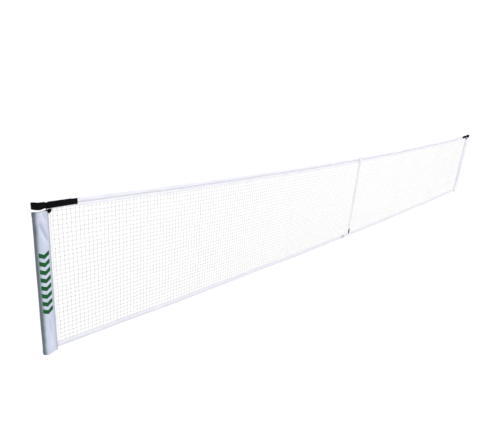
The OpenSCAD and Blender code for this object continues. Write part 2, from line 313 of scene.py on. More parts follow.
# Polyester binding tape, woven and bleached: a clean, faintly lilac white with a dry surface. Its
# threads are 0.5 mm apart and are drawn 1.1 mm apart; its slubs are drawn 14 mm long to show. Its skirt tint
# is painted shade along the stitched band, a little less by the cord's fold, and painted light that whitens the
# loose skirt's edge.
TOP_TAPE = woven_cloth("woven_polyester_tape", "#E8E8F0", "#F3F3FA", 1.1 * MM, 14 * MM, (0.62, 0.78),
                       skirt=[(0.0, "#FAFAFB"), (0.3, "#F8F8F9"), (0.5, "#F4F4F5"), (0.6, "#F3F3F4"),
                              (0.7, "#F8F8F9"), (0.85, "#FFFFFF")], IOR=1.57, Sheen_Weight=0.1)
# The tape along the foot is the same cloth in a greyer tone, and its skirt tint darkens it towards its fold:
# painted shade.
FOOT_TAPE = woven_cloth("foot_polyester_tape", "#DADAE2", "#E6E6ED", 1.1 * MM, 14 * MM, (0.66, 0.82),
                        skirt=[(0.0, "#F5F5F8"), (0.3, "#F8F8FA"), (0.5, "#FFFFFF")], IOR=1.57,
                        Sheen_Weight=0.1)
# The tape on the two ends is the same cloth, less exposed to the sun, so it is a whiter white.
SIDE_TAPE = woven_cloth("fresh_polyester_tape", "#EAEBEE", "#F3F4F6", 1.1 * MM, 14 * MM, (0.62, 0.78),
                        IOR=1.57, Sheen_Weight=0.1)
# Polyester sewing thread, twisted and bonded: a slight gloss. Plies of 0.3 mm are drawn 0.8 mm wide.
THREAD = twisted_yarn("white_polyester_thread", "#DCDCE4", "#EAEAF0", 0.8 * MM, (0.45, 0.6), IOR=1.57)
GREY_THREAD = twisted_yarn("grey_polyester_thread", "#787A87", "#8C8E9A", 0.8 * MM, (0.5, 0.65), IOR=1.57)
BLACK_THREAD = twisted_yarn("black_polyester_thread", "#0C0D10", "#1B1C20", 0.8 * MM, (0.5, 0.65),
                            IOR=1.57, Specular_IOR_Level=0.2)
# Polyester cord, braided: round and hard, its strands 1.6 mm apart, creamier than the tape over it.
CORD = twisted_yarn("braided_polyester_cord", "#C4C4BE", "#DADAD4", 1.6 * MM, (0.55, 0.7), IOR=1.57)
# Nylon oxford cloth with a polyurethane coat: pale blue-grey with a low sheen. The left sleeve's tones are
# painted shade: dark on the side round the post, near black at its outer edge, and darker beside the seam. Painted
# shade darkens the hollows of its creases.
LEFT_SLEEVE = coated_oxford("coated_nylon_oxford_painted_shade", SLEEVE_HIGH[0], SLEEVE_LOW[0], [
    (0.0, "#B2B8C5"), (0.06, "#C0C6D3"), (0.2, "#CBD1E2"), (0.43, "#D1D7E8"), (0.6, "#CCD3E3"),
    (0.74, "#C2CBD9"), (0.82, "#9CA7B3"), (0.9, "#5B666F"), (1.0, "#2B3438")])
# The sleeve on the right is a paler copy of the same cloth, nearly white, without the dark side: painted light,
# with a little painted shade beside the seam.
RIGHT_SLEEVE = coated_oxford("nylon_oxford_painted_light", RIGHT_POST_X - SLEEVE_HIGH[0],
                             RIGHT_POST_X - SLEEVE_LOW[0], [
    (0.0, "#D9DEE3"), (0.3, "#E6E9EE"), (0.7, "#EDEFF3"), (1.0, "#E3E7EC")])
# Polypropylene webbing, woven from dyed yarn: deep black with almost no shine. Ribs 1.8 mm apart.
BLACK_WEBBING = ribbed_webbing("black_polypropylene_webbing", "#030405", "#0B0C0F", 1.8 * MM, (0.68, 0.82),
                               IOR=1.49, Specular_IOR_Level=0.06)
# Polyester webbing, woven and dyed light grey: soft, matt, with 1.8 mm ribs.
GREY_WEBBING = ribbed_webbing("grey_polyester_webbing", "#AEB0B3", "#C4C5C8", 1.8 * MM, (0.62, 0.78),
                              IOR=1.57)
# Cotton-rich webbing, woven undyed: a warmer white than the tape, its 1.5 mm ribs running up the pocket.
POCKET_WEBBING = ribbed_webbing("undyed_cotton_webbing", "#D8D7D8", "#E8E6E6", 1.5 * MM, (0.75, 0.88),
                                IOR=1.53, Sheen_Weight=0.1)
# Glass fibre rod, pultruded in polyester resin: long pale fibres under a glossy skin. Fibres of 0.02 mm
# are drawn as streaks 3 mm wide and twenty times as long.
GLASS_ROD = smooth_solid("pultruded_glass_fibre", "#CDCBBE", "#E2E0D4", 3 * MM, 0.05, (0.22, 0.36),
                         IOR=1.55, Coat_Weight=0.3)
# Low-density polythene, injection moulded: dark, a little waxy, scuffed in 2 mm marks.
CAP_PLASTIC = smooth_solid("moulded_polythene", "#111213", "#1E1F20", 2 * MM, 1.0, (0.38, 0.55), IOR=1.51)
# Synthetic rubber, press moulded: dull greenish black that court dust pales in 4 mm blotches.
TIP_RUBBER = smooth_solid("moulded_rubber", "#0B0E0C", "#1B211D", 4 * MM, 1.0, (0.62, 0.8),
                          IOR=1.52, Specular_IOR_Level=0.2)
# Plastisol ink, screen printed on cloth: dark green with a dull skin. The mesh's 0.1 mm dots are drawn
# as a 5 mm mottle.
INK = smooth_solid("screen_printed_plastisol", "#07431B", "#0B5925", 5 * MM, 1.0, (0.5, 0.7),
                   IOR=1.52, Specular_IOR_Level=0.15)


def hook_and_loop():
    """Hook and loop tape, knitted from nylon: a matt black pile. Hooks 0.4 mm apart are drawn 1.4 mm
    apart."""
    material, tree, shader, place = start_material("knitted_nylon_pile", IOR=1.53, Specular_IOR_Level=0.1)
    hooks = add_node(tree, "ShaderNodeTexVoronoi", {"Vector": place, "Scale": blotches(1.4 * MM)})["Distance"]
    crushed = add_node(tree, "ShaderNodeTexNoise", {"Vector": place, "Scale": blotches(20 * MM)})["Fac"]
    finish_surface(tree, shader, hooks, crushed, "#09090A", "#1C1C1E", (0.88, 0.98), 0.5 * MM)
    return material


PILE = hook_and_loop()


# ---------------------------------------------------------------- mesh building
X_AXIS, Y_AXIS, Z_AXIS = np.eye(3)


def spread(x, y, z):
    """Points from numbers or arrays of x, y and z that fit together."""
    return np.stack(np.broadcast_arrays(x, y, z), -1)


def distances_along(line):
    """How far along a line each of its points lies."""
    return np.append(0, np.cumsum(np.linalg.norm(np.diff(line, axis=0), axis=1)))


def points_at(at, reach, line):
    """The points at these distances along a line whose own points lie at reach."""
    return np.stack([np.interp(at, reach, column) for column in line.T], -1)


def quad_object(name, points, quads, material, second=None, second_from=0):
    """A mesh object from arrays of points and of four-cornered faces. The faces from second_from on
    take the second material."""
    mesh = bpy.data.meshes.new(name)
    points = np.asarray(points, np.float32).reshape(-1, 3)
    quads = np.asarray(quads, np.int32).reshape(-1, 4)
    mesh.vertices.add(len(points))
    mesh.vertices.foreach_set("co", points.ravel())
    mesh.loops.add(quads.size)
    mesh.loops.foreach_set("vertex_index", quads.ravel())
    mesh.polygons.add(len(quads))
    mesh.polygons.foreach_set("loop_start", np.arange(0, quads.size, 4, dtype=np.int32))
    mesh.polygons.foreach_set("use_smooth", np.ones(len(quads), bool))
    mesh.materials.append(material)
    if second:
        mesh.materials.append(second)
        chosen = (np.arange(len(quads)) >= second_from).astype(np.int32)
        mesh.polygons.foreach_set("material_index", chosen)
    mesh.update(calc_edges=True)
    made = bpy.data.objects.new(name, mesh)
    bpy.context.scene.collection.objects.link(made)
    return made


def sheet_quads(rows, columns, closed=False):
    """Faces of a grid of points with that many rows and columns; closed joins the last row to the first."""
    r = np.arange(rows if closed else rows - 1)[:, None]
    c = np.arange(columns - 1)[None, :]
    a = r * columns + c
    b = ((r + 1) % rows) * columns + c
    return np.stack([a, b, b + 1, a + 1], -1).reshape(-1, 4)


def normals(grid):
    """Unit normals of a grid of points."""
    across = np.gradient(grid, axis=0)
    length = np.gradient(grid, axis=1)
    n = np.cross(across, length)
    return n / np.maximum(np.linalg.norm(n, axis=-1, keepdims=True), 1e-12)


def cloth(name, grid, thickness, material, edge=0.55, **marks):
    """A sheet of cloth of real thickness round a grid of points, thinner by edge along its rim. marks
    are numbers that each point carries for the material, such as slack=, one array to a name."""
    rows, columns = grid.shape[:2]
    half = np.full((rows, columns, 1), thickness / 2)
    for rim in (half[0], half[-1], half[:, 0], half[:, -1]):
        rim *= edge
    n = normals(grid)
    front = grid + n * half
    back = grid - n * half
    count = rows * columns
    faces = sheet_quads(rows, columns)
    index = np.arange(count).reshape(rows, columns)
    ring = np.concatenate([index[0, :-1], index[:-1, -1], index[-1, :0:-1], index[:0:-1, 0]])
    after = np.roll(ring, -1)
    rim = np.stack([ring, after, after + count, ring + count], -1)
    quads = np.concatenate([faces, faces[:, ::-1] + count, rim])
    made = quad_object(name, np.concatenate([front.reshape(-1, 3), back.reshape(-1, 3)]), quads, material)
    for mark, values in marks.items():
        layer = made.data.attributes.new(mark, "FLOAT", "POINT")
        layer.data.foreach_set("value", np.tile(np.ravel(values), 2).astype(np.float32))
    return made


def bar_quads(length, sides):
    """Faces of a bar of length rings with that many sides. A four-sided bar is closed at both ends."""
    i = np.arange(length - 1)[:, None] * sides
    k = np.arange(sides)[None, :]
    after = (k + 1) % sides
    body = np.stack([i + k, i + after, i + sides + after, i + sides + k], -1).reshape(-1, 4)
    if sides == 4:
        ends = np.array([[3, 2, 1, 0], (length - 1) * sides + np.arange(4)])
        body = np.concatenate([body, ends])
    return body


def rods(paths, radius, sides, side_a, side_b):
    """Round bars along many paths at once: side_a and side_b are the two directions across them."""
    count, length = paths.shape[:2]
    turn = 2 * np.pi * (np.arange(sides) + 0.5) / sides
    ring = np.cos(turn)[:, None] * side_a + np.sin(turn)[:, None] * side_b
    points = paths[:, :, None, :] + radius * ring[None, None]
    offset = (np.arange(count) * length * sides)[:, None, None]
    return points.reshape(-1, 3), (bar_quads(length, sides)[None] + offset).reshape(-1, 4)


def join(parts):
    """Several (points, quads) pairs as one."""
    points, quads, start = [], [], 0
    for p, q in parts:
        points.append(p.reshape(-1, 3))
        quads.append(q + start)
        start += len(points[-1])
    return np.concatenate(points), np.concatenate(quads)


def copies(template, quads, places, turns):
    """Copies of a small template at many places, each turned by its own 3x3 matrix."""
    points = np.einsum("nij,kj->nki", turns, template) + places[:, None, :]
    offset = (np.arange(len(places)) * len(template))[:, None, None]
    return points.reshape(-1, 3), (quads[None] + offset).reshape(-1, 4)


def bar_template(length, radius, bow=0.0):
    """A short four-sided bar along X with rounded ends, bowed in Y."""
    t = np.array([-1, -0.8, -0.3, 0.3, 0.8, 1])
    size = radius * np.array([0.35, 0.85, 1, 1, 0.85, 0.35])
    middle = spread(t * length / 2, bow * (1 - t ** 2), 0 * t)
    turn = np.pi / 2 * (np.arange(4) + 0.5)
    ring = spread(0 * turn, np.cos(turn), np.sin(turn))
    points = middle[:, None, :] + size[:, None, None] * ring[None]
    return points.reshape(-1, 3), bar_quads(len(t), len(turn))


def frames_along(directions, outward):
    """A 3x3 matrix for each direction: its X axis along it and its Z axis close to outward."""
    x = directions / np.linalg.norm(directions, axis=-1, keepdims=True)
    y = np.cross(outward, x)
    y /= np.linalg.norm(y, axis=-1, keepdims=True)
    return np.stack([x, y, np.cross(x, y)], -1)


STITCH = bar_template(3.4 * MM, 0.45 * MM)
STITCH_PITCH = 4.8 * MM


def stitch_row(line, face):
    """Stitches at an even pitch along a line of points, on the front (face -1) or the back (1)."""
    reach = distances_along(line)
    at = np.arange(STITCH_PITCH, reach[-1] - STITCH_PITCH / 2, STITCH_PITCH)
    place = points_at(at, reach, line)
    ahead = points_at(at + MM, reach, line)
    turns = frames_along(ahead - place, np.broadcast_to(face * Y_AXIS, place.shape))
    return copies(*STITCH, place, turns)


def settle(piece, body=None, nodes=()):
    """Hides the CAD nodes the piece stands for and attaches it to the body it rides on."""
    if nodes:
        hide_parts(*nodes)
    if body:
        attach(piece, body)


def sew(name, rows, thread, body):
    """Makes rows of stitches one piece."""
    piece = quad_object(name, *join(rows), thread)
    settle(piece, body)
    return piece


def bend_at_fold(piece):
    """Bakes the placement of cloth that crosses the fold line into its mesh; it rides on neither half."""
    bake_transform(piece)


# ---------------------------------------------------------------- knotted mesh
PITCH = 25 * MM
ROWS = 33
MESH_EDGE = 5 * MM  # how far inside the top and bottom edges the first and last rows would lie
SIDE_INSET = 6 * MM
END_INSET = 3 * MM
TWINE_R = 0.7 * MM
KNOT_BAR = bar_template(5.6 * MM, 1.35 * MM, 0.8 * MM)
QUARTER_TURN = np.array([[0, 0, 1], [0, -1, 0], [1, 0, 0]])
KNOT = join([KNOT_BAR, (KNOT_BAR[0] @ QUARTER_TURN, KNOT_BAR[1])])
KNOT_STRAY = np.array([0.9, 0.5, 0.7])  # how far a knot lies from its place each way, in mm
KNOT_TILT = math.pi / 4
TILT_STRAY = 0.25
STRAND_STRAY = 0.5 * MM
STRAND_SAG = 0.3 * MM


def knot_grid(xs):
    """The knots of the mesh: columns at xs, rows from inside the bottom tape to inside the top tape."""
    rows = np.arange(1, ROWS)
    x = np.repeat(xs[:, None], len(rows), 1)
    low = bottom_at(x) + MESH_EDGE
    z = low + (top_at(x) - MESH_EDGE - low) * rows / ROWS
    grid = spread(x, billow(x), z)
    return grid + rng.normal(0, 1, grid.shape) * KNOT_STRAY * MM


def between(grid, axis):
    """Puts a slightly slack point between each knot and the next along an axis."""
    grid = np.moveaxis(grid, axis, 1)
    middle = (grid[:, 1:] + grid[:, :-1]) / 2
    middle = middle + rng.normal(0, STRAND_STRAY, middle.shape)
    middle[..., 2] -= STRAND_SAG
    out = np.empty((grid.shape[0], grid.shape[1] * 2 - 1, 3))
    out[:, 0::2] = grid
    out[:, 1::2] = middle
    return out


def netting(name, grid):
    """Twine through every knot of a grid, both ways, with a knot at each crossing."""
    upright = rods(between(grid, 1), TWINE_R, 4, X_AXIS, Y_AXIS)
    level = rods(between(grid.transpose(1, 0, 2), 1), TWINE_R, 4, Y_AXIS, Z_AXIS)
    places = grid[:, 1:-1].reshape(-1, 3)
    tilt = KNOT_TILT + rng.normal(0, TILT_STRAY, len(places))
    turns = np.zeros((len(places), 3, 3))
    turns[:, 0, 0] = turns[:, 2, 2] = np.cos(tilt)
    turns[:, 0, 2] = np.sin(tilt)
    turns[:, 2, 0] = -np.sin(tilt)
    turns[:, 1, 1] = 1
    points, quads = join([upright, level, copies(*KNOT, places, turns)])
    return quad_object(name, points, quads, TWINE, KNOT_TWINE, len(upright[1]) + len(level[1]))


def build_mesh():
    """The netting, in three pieces a side, and the level strands that cross the fold."""
    first = math.ceil((NET_X0 + SIDE_INSET - FOLD_X) / PITCH)
    last = math.floor((NET_X1 - SIDE_INSET - FOLD_X) / PITCH)
    columns = FOLD_X + (np.arange(first, last) + 0.5) * PITCH
    columns = np.concatenate([[NET_X0 + END_INSET], columns, [NET_X1 - END_INSET]])
    columns = np.unique(np.round(columns, 6))
    whole = knot_grid(columns)
    count = np.count_nonzero(columns < FOLD_X)
    for body, node, span in (("left_half", "net_mesh_left", np.arange(count)),
                             ("right_half", "net_mesh_right", np.arange(count, len(columns)))):
        thirds = np.array_split(span, 3)
        for i, part in enumerate(thirds):
            start = part[0] if i == 0 else part[0] - 1
            grid = whole[start:part[-1] + 1]
            settle(netting(f"{node}_{i + 1}", grid), body, [node])
    # the strands from the last column on the left to the first on the right, in short steps to bend
    crossing = between(whole[count - 1:count + 1].transpose(1, 0, 2), 1)
    fine = np.stack([points_at(np.linspace(0, 1, 17), [0, 0.5, 1], path) for path in crossing])
    piece = quad_object("net_mesh_crossing", *rods(fine, TWINE_R, 4, Y_AXIS, Z_AXIS), TWINE)
    settle(piece)
    bend_at_fold(piece)


build_mesh()


# ---------------------------------------------------------------- tapes and their cords
def stations(x0, x1, step):
    """Even stations along the net, 1.5 mm apart where the cloth bends at the fold."""
    coarse = np.arange(x0, x1, step)
    near = FOLD_X + np.arange(-4, 24, 1.5) * MM
    gap = 4 * MM
    coarse = coarse[(coarse < near[0] - gap) | (coarse > near[-1] + gap)]
    return np.unique(np.concatenate([coarse, near, [x1]]))


NECK_GAP = 2.2 * MM  # from the cord's fold to where the two skirts meet
SKIRT_SHARES = np.array([1, 0.8, 0.62, 0.52, 0.42])
SKIRT_PINCH = np.array([0, 0, 0.2, 0.7, 0.2, 0]) * MM  # the stitches draw the skirts together


def tape_profile(fold_r, height, side):
    """The middle line of a tape folded round its cord: (y, z) from the front skirt's edge to the back's.
    side is -1 where the cloth hangs below its cord and 1 where it stands above it."""
    centre = side * (fold_r + TAPE_T / 2)
    turn = np.radians(np.linspace(-50, 230, 15))
    arc = np.stack([-fold_r * np.cos(turn), centre - side * fold_r * np.sin(turn)], -1)
    depth = np.append(height * SKIRT_SHARES, 2 * fold_r + NECK_GAP)
    front = np.stack([SKIRT_PINCH - SKIRT_Y, side * depth], -1)
    return np.concatenate([front, arc, front[::-1] * np.array([-1, 1])])


RIPPLE = 0.5 * MM
RIPPLE_PITCH = 45 * MM
RIPPLE_HOLD = 0.1


def build_tape(name, edge_at, side, fold_r, height, nodes, material):
    """A tape folded round its cord along the whole net. The lower half of its skirts ripples, except
    within RIPPLE_HOLD of the fold."""
    xs = stations(NET_X0, NET_X1, 20 * MM)
    profile = tape_profile(fold_r, height, side)
    hang = np.clip((np.abs(profile[:, 1]) / height - 0.5) * 2, 0, 1)
    gathers = np.arange(NET_X0, NET_X1, RIPPLE_PITCH)
    ripple = np.interp(xs, gathers, rng.normal(0, RIPPLE, len(gathers)))
    ripple = ripple * np.clip(np.abs(xs - FOLD_X) / RIPPLE_HOLD - 0.3, 0, 1)
    grid = spread(xs, profile[:, :1] + billow(xs) + hang[:, None] * ripple, profile[:, 1:] + edge_at(xs))
    skirt = np.repeat(np.clip(np.abs(profile[:, 1:]) / height, 0, 1), len(xs), 1)
    piece = cloth(name, grid, TAPE_T, material, skirt=skirt)
    settle(piece, None, nodes)
    bend_at_fold(piece)


CORD_INSET = 2 * MM
CORD_EASE = 0.96  # the cord's thickness as a share of the room in its fold


def build_cord(name, edge_at, side, fold_r, cord_r, nodes):
    """The cord inside a tape's fold."""
    xs = stations(NET_X0 + CORD_INSET, NET_X1 - CORD_INSET, 40 * MM)
    path = spread(xs, billow(xs), edge_at(xs) + side * (fold_r + TAPE_T / 2))
    piece = quad_object(name, *rods(path[None], cord_r * CORD_EASE, 12, Y_AXIS, Z_AXIS), CORD)
    settle(piece, None, nodes)
    bend_at_fold(piece)


LAST_STITCH = FOLD_X - 20 * MM
NEXT_STITCH = FOLD_X + 24 * MM
ROW_START = 4 * MM


def tape_stitches(name, edge_at, side, distances, thread, body):
    """Rows of stitches along both faces of a tape, at these distances from its edge. They leave out the
    stretch from LAST_STITCH to NEXT_STITCH, where the tape bends."""
    x0, x1 = (NET_X0, LAST_STITCH) if body == "left_half" else (NEXT_STITCH, NET_X1)
    xs = np.arange(x0 + ROW_START, x1, 20 * MM)
    rows = []
    for distance in distances:
        for face in (-1, 1):
            y = billow(xs) + face * (SKIRT_Y + TAPE_T / 2)
            rows.append(stitch_row(spread(xs, y, edge_at(xs) + side * distance), face))
    sew(name, rows, thread, body)


def both(node):
    """The left and the right CAD node of a piece that runs along the whole net."""
    return [f"{node}_left", f"{node}_right"]


TOP_ROWS = (19 * MM, 23 * MM, 27 * MM)
BOTTOM_ROWS = (10 * MM,)
HEM_ROW = 4 * MM
build_tape("top_tape", top_at, -1, TOP_FOLD_R, TOP_TAPE_H, both("top_tape"), TOP_TAPE)
build_tape("bottom_tape", bottom_at, 1, BOTTOM_FOLD_R, BOTTOM_TAPE_H, both("bottom_tape"), FOOT_TAPE)
build_cord("headline_cord", top_at, -1, TOP_FOLD_R, HEADLINE_R, both("headline_cord"))
build_cord("foot_cord", bottom_at, 1, BOTTOM_FOLD_R, FOOT_CORD_R, both("foot_cord"))
for half in ("left_half", "right_half"):
    tape_stitches(f"top_tape_stitches_{half}", top_at, -1, TOP_ROWS, GREY_THREAD, half)
    tape_stitches(f"top_tape_hem_stitches_{half}", top_at, -1, (TOP_TAPE_H - HEM_ROW,), THREAD, half)
    tape_stitches(f"bottom_tape_stitches_{half}", bottom_at, 1, BOTTOM_ROWS, GREY_THREAD, half)
    tape_stitches(f"bottom_tape_hem_stitches_{half}", bottom_at, 1, (BOTTOM_TAPE_H - HEM_ROW,), THREAD, half)


# ---------------------------------------------------------------- the two ends
def mirrored(grid):
    """The same points at the right end of the net."""
    out = np.array(grid, float)
    out[..., 0] = RIGHT_POST_X - out[..., 0]
    return out


SLEEVE_T = 1.2 * MM
SLEEVE_R = POST_R + SLEEVE_T / 2
SLEEVE_TOP = SLEEVE_HIGH[2]
SEAM_X = SLEEVE_HIGH[0]
SEAM_Y = SKIRT_Y
SEAM_ROWS = (2.2 * MM, 6.5 * MM)
SEAM_END = 2 * MM
HEM_H = 22 * MM
HEM_T = 0.9 * MM
SKIN = 0.1 * MM  # how far thread and hems lie off the cloth under them


def pouch_line(r, end_x, y_front, y_back, count):
    """Cloth round a post seen from above: count points from its front end, round the post, to its back
    end, and how far along each lies."""
    low = math.atan2(y_front, end_x) - math.acos(r / math.hypot(end_x, y_front))
    high = math.atan2(y_back, end_x) + math.acos(r / math.hypot(end_x, y_back))
    front = np.array([end_x, y_front])
    back = np.array([end_x, y_back])
    arc = -np.linspace(-low, 2 * math.pi - high, 80)
    circle = r * np.stack([np.cos(arc), np.sin(arc)], -1)
    line = np.concatenate([front[None], circle, back[None]])
    reach = distances_along(line)
    at = np.linspace(0, reach[-1], count)
    return points_at(at, reach, line), at


def crease(s, z, s0, z0, s1, z1, width, depth):
    """A soft ridge along the line from (s0, z0) to (s1, z1) on the cloth, fading at both ends."""
    length = math.hypot(s1 - s0, z1 - z0)
    ux, uz = (s1 - s0) / length, (z1 - z0) / length
    t = ((s - s0) * ux + (z - z0) * uz) / length
    d = -(s - s0) * uz + (z - z0) * ux
    fade = np.clip(1 - np.abs(2 * t - 1) ** 3, 0, 1) * ((t > 0) & (t < 1))
    return depth * np.exp(-(d / width) ** 2) * fade


SLEEVE_S = 132
SLEEVE_Z = 150
SLEEVE_LINE, SLEEVE_REACH = pouch_line(SLEEVE_R, SEAM_X, -SEAM_Y, SEAM_Y, SLEEVE_S)
SLACK_SPAN = 7 * MM  # from the bottom of a hollow to the top of a ridge
SEWN_DOWN = 10 * MM
# Each crease on a sleeve, in mm: its two ends as distances from the seam and from the rim, its width and
# how far it stands up, or sinks in if that is negative. The strap hauls the upper ones askew, from high
# up on the post down towards the seam.
CREASES = (
    (57, 4, 10, 70, 7, 3.4),
    (36, 10, 15, 52, 5, -3.0),
    (60, 44, 14, 164, 10, -4.6),
    (70, 72, 10, 196, 8, 4.0),
    (15, 88, 7, 150, 4, 2.0),
    (52, 400, 24, 560, 10, -1.4),
    (44, 590, 20, 740, 9, -1.8),
    (22, 620, 34, 790, 8, 1.6),
)
BACK_SHARE = 0.7
BACK_SHIFT = 18 * MM
RIM_DROP = 9 * MM
RIM_START_Y = -6 * MM
RIM_DEPTH = 22 * MM
OUTER_SHARE = 0.6
OUTER_X = -8 * MM
OUTER_RUN = 50 * MM
SEAM_RUN = 30 * MM


def pull_creases(s, down):
    """The creases on one face of the sleeve. s is the distance from the seam, down from the rim."""
    return sum(crease(s, down, *(size * MM for size in sizes)) for sizes in CREASES)


def sleeve_slack(s, z):
    """How far the cloth stands off its smooth shape. s is the distance from the front seam. The back's
    creases are BACK_SHARE as deep and BACK_SHIFT lower, and none starts within SEWN_DOWN of the seam."""
    down = SLEEVE_TOP - z
    whole = SLEEVE_REACH[-1]
    free = np.clip(np.minimum(s, whole - s) / SEWN_DOWN, 0, 1)
    pulls = pull_creases(s, down) + BACK_SHARE * pull_creases(whole - s, down - BACK_SHIFT)
    slow = 0.8 * MM * np.sin(down * 13 + s * 30) * np.sin(down * 5.3 + 1.0)
    return free * (pulls + slow)


def rim_drop(x, y):
    """How far the sleeve's top edge hangs below its level. The drop grows over RIM_DEPTH from
    RIM_START_Y, to RIM_DROP behind the post on the net's side and OUTER_SHARE of that up to OUTER_X, and
    fades over the last SEAM_RUN before the seam."""
    behind = np.clip((y - RIM_START_Y) / RIM_DEPTH, 0, 1)
    outer = np.clip(OUTER_SHARE + (x - OUTER_X) / OUTER_RUN, OUTER_SHARE, 1)
    inner = np.clip((SEAM_X - x) / SEAM_RUN, 0, 1)
    return RIM_DROP * (behind * outer) * inner


def sleeve_points(zs, lift=0.0):
    """Points on the sleeve's cloth, and their slack from 0 to 1: rows follow the line round the post,
    columns run up it."""
    tangent = np.gradient(SLEEVE_LINE, axis=0)
    out = np.stack([tangent[:, 1], -tangent[:, 0]], -1)
    out /= np.linalg.norm(out, axis=-1, keepdims=True)
    if out[0, 1] > 0:
        out = -out
    x, y = SLEEVE_LINE[:, :1], SLEEVE_LINE[:, 1:]
    z = zs[None, :] * (1 - rim_drop(x, y) / SLEEVE_TOP)
    slack = sleeve_slack(SLEEVE_REACH[:, None], z)
    off = slack + lift
    grid = spread(x + out[:, :1] * off, y + out[:, 1:] * off, z)
    return grid, np.clip(0.5 + slack / SLACK_SPAN, 0, 1)


def on_sleeve(s, z, lift):
    """Points on the front of the sleeve, lifted off it: s is their distance from the seam."""
    here = points_at(s, SLEEVE_REACH, SLEEVE_LINE)
    ahead = points_at(s + MM, SLEEVE_REACH, SLEEVE_LINE) - here
    size = np.hypot(ahead[..., 0], ahead[..., 1])
    off = sleeve_slack(s, z) + lift
    return spread(here[..., 0] - ahead[..., 1] / size * off, here[..., 1] + ahead[..., 0] / size * off, z)


def build_end(side, body, place, material):
    """The sleeve, its hems, its seam, the corner strap and the tab at one end of the net."""
    grid, slack = sleeve_points(np.linspace(0, SLEEVE_TOP, SLEEVE_Z))
    sleeve = cloth(f"sleeve_cloth_{side}", place(grid), SLEEVE_T, material, slack=slack)
    settle(sleeve, body, [f"post_sleeve_{side}"])

    for end, z0 in (("top", SLEEVE_TOP - HEM_H), ("bottom", 0.0)):
        band, slack = sleeve_points(np.linspace(z0, z0 + HEM_H, 8), SLEEVE_T / 2 + HEM_T / 2 + SKIN)
        piece = cloth(f"sleeve_{end}_hem_cloth_{side}", place(band), HEM_T, material, slack=slack)
        settle(piece, body, [f"sleeve_{end}_hem_{side}"])

    rows = []
    up = np.linspace(SEAM_END, SLEEVE_TOP - SEAM_END, 60)
    for s in SEAM_ROWS:
        line = on_sleeve(s, up, SLEEVE_T / 2 + SKIN)
        rows.append(stitch_row(place(line), -1))
        rows.append(stitch_row(place(line * np.array([1, -1, 1])), 1))
    sew(f"seam_stitches_{side}", rows, GREY_THREAD, body)
    build_side_tape(side, body, place)
    build_strap(side, body, place)


SIDE_ROW = 3 * MM
SIDE_WANDER = 0.3 * MM


def build_side_tape(side, body, place):
    """Tape folded over the end of the mesh and sewn through along its edge."""
    x0, x1 = SIDE_LOW[0], SIDE_HIGH[0]
    z0, z1 = bottom_at(x0) + BOTTOM_TAPE_H, top_at(x0) - TOP_TAPE_H
    fold = x0 + TAPE_T
    turn = np.radians(np.linspace(-90, 90, 7))
    arc = np.stack([fold - SKIRT_Y * np.cos(turn) * 0.6, SKIRT_Y * np.sin(turn)], -1)
    profile = np.concatenate([[[x1, -SKIRT_Y], [(x1 + fold) / 2, -SKIRT_Y]], arc,
                              [[(x1 + fold) / 2, SKIRT_Y], [x1, SKIRT_Y]]])
    zs = np.linspace(z0, z1, 60)
    x = profile[:, :1] + SIDE_WANDER * np.sin(zs * 90) * (profile[:, :1] > fold)
    grid = spread(x, profile[:, 1:], zs)
    piece = cloth(f"side_binding_{side}", place(grid), TAPE_T, SIDE_TAPE)
    settle(piece, body, [f"side_tape_{side}"])
    rows = []
    for face in (-1, 1):
        line = spread(x1 - SIDE_ROW, face * (SKIRT_Y + TAPE_T / 2), zs)
        rows.append(stitch_row(place(line), face))
    sew(f"side_binding_stitches_{side}", rows, THREAD, body)


LOOP_LOW, LOOP_HIGH = box("post_loop_left")
STRAP_LOW, STRAP_HIGH = box("corner_strap_left")
TAIL_LOW, TAIL_HIGH = box("strap_tail_left")
PAD_LOW, PAD_HIGH = box("strap_loop_pad_left")
HOOK_LOW, HOOK_HIGH = box("tail_hook_pad_left")
STRAP_T = 1.6 * MM
STRAP_W = LOOP_HIGH[2] - LOOP_LOW[2]
STRAP_DROP = 4.8 * MM
STRAP_RISE = 3.5 * MM
TAIL_LIFT = 3.5 * MM
LOOP_TILT = 0.5 * MM
OUTER_LIFT = 3.5 * MM
INNER_DROP = 3 * MM
PILE_T = 0.8 * MM
PILE_INSET = 3 * MM


def strap_top(x):
    """The height of the sewn strap's top edge: STRAP_DROP below the net's at the post, and STRAP_RISE
    nearer to it at the strap's far end."""
    share = (x - STRAP_LOW[0]) / (STRAP_HIGH[0] - STRAP_LOW[0])
    return top_at(x) - STRAP_DROP + STRAP_RISE * share


def webbing(name, x, y, top_z, width, place, thickness=STRAP_T, material=BLACK_WEBBING, rows=9):
    """Flat webbing on edge: x and y are its line from above, top_z the height of its top edge."""
    down = np.linspace(0, width, rows)[:, None]
    return cloth(name, place(spread(x, y, top_z - down)), thickness, material, edge=0.6)


